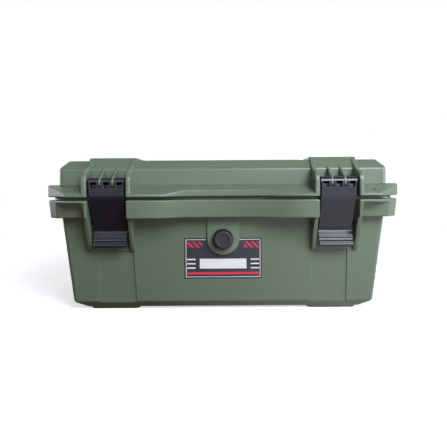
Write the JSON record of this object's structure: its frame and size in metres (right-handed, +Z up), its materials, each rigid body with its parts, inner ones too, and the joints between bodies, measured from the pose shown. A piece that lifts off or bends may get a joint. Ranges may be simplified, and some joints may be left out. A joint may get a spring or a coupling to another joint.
{
  "type": "tool box",
  "caption": "Moulded protective case with a hinged lid, hook latches, a folding carrying handle and a pressure relief valve.",
  "frame": {"origin": "centre of the footprint, on the floor that the feet stand on", "axes": "+X to the right seen from the front, -Y out of the front where the latches are, +Z up"},
  "size_m": [0.28, 0.24, 0.125],
  "materials": {
    "case_plastic": "fine moulded texture",
    "black_plastic": "satin",
    "pin_steel": "drawn and cut",
    "seal_rubber": "moulded",
    "label_film": "printed film"
  },
  "bodies": {
    "base": {"base_shell": "case_plastic", "hinge_pin_left": "pin_steel", "hinge_pin_right": "pin_steel", "valve_body": "black_plastic", "valve_seal": "seal_rubber", "valve_nut": "black_plastic", "front_label": "label_film"},
    "lid": {"lid_shell": "case_plastic", "lid_seal": "seal_rubber", "latch_pin_left": "pin_steel", "latch_pin_right": "pin_steel", "handle_pin_left": "pin_steel", "handle_pin_right": "pin_steel"},
    "latch_left": {"latch_left": "black_plastic"},
    "latch_right": {"latch_right": "black_plastic"},
    "handle": {"carry_handle": "black_plastic"},
    "valve_knob": {"valve_knob": "black_plastic"}
  },
  "joints": [
    {"name": "lid_hinge", "type": "hinge", "parent": "base", "child": "lid", "pos_m": [0, 0.1144, 0.092], "axis": [-1, 0, 0], "range_deg": [0, 100]},
    {"name": "latch_left_pivot", "type": "hinge", "parent": "lid", "child": "latch_left", "pos_m": [-0.08975, -0.1137, 0.105], "axis": [-1, 0, 0], "range_deg": [0, 130]},
    {"name": "latch_right_pivot", "type": "hinge", "parent": "lid", "child": "latch_right", "pos_m": [0.08975, -0.1137, 0.105], "axis": [-1, 0, 0], "range_deg": [0, 130]},
    {"name": "handle_pivot", "type": "hinge", "parent": "lid", "child": "handle", "pos_m": [0, 0, 0.117], "axis": [-1, 0, 0], "range_deg": [0, 100]},
    {"name": "valve_turn", "type": "hinge", "parent": "base", "child": "valve_knob", "pos_m": [0, -0.0982, 0.059], "axis": [0, -1, 0], "range_deg": [0, 270]}
  ]
}
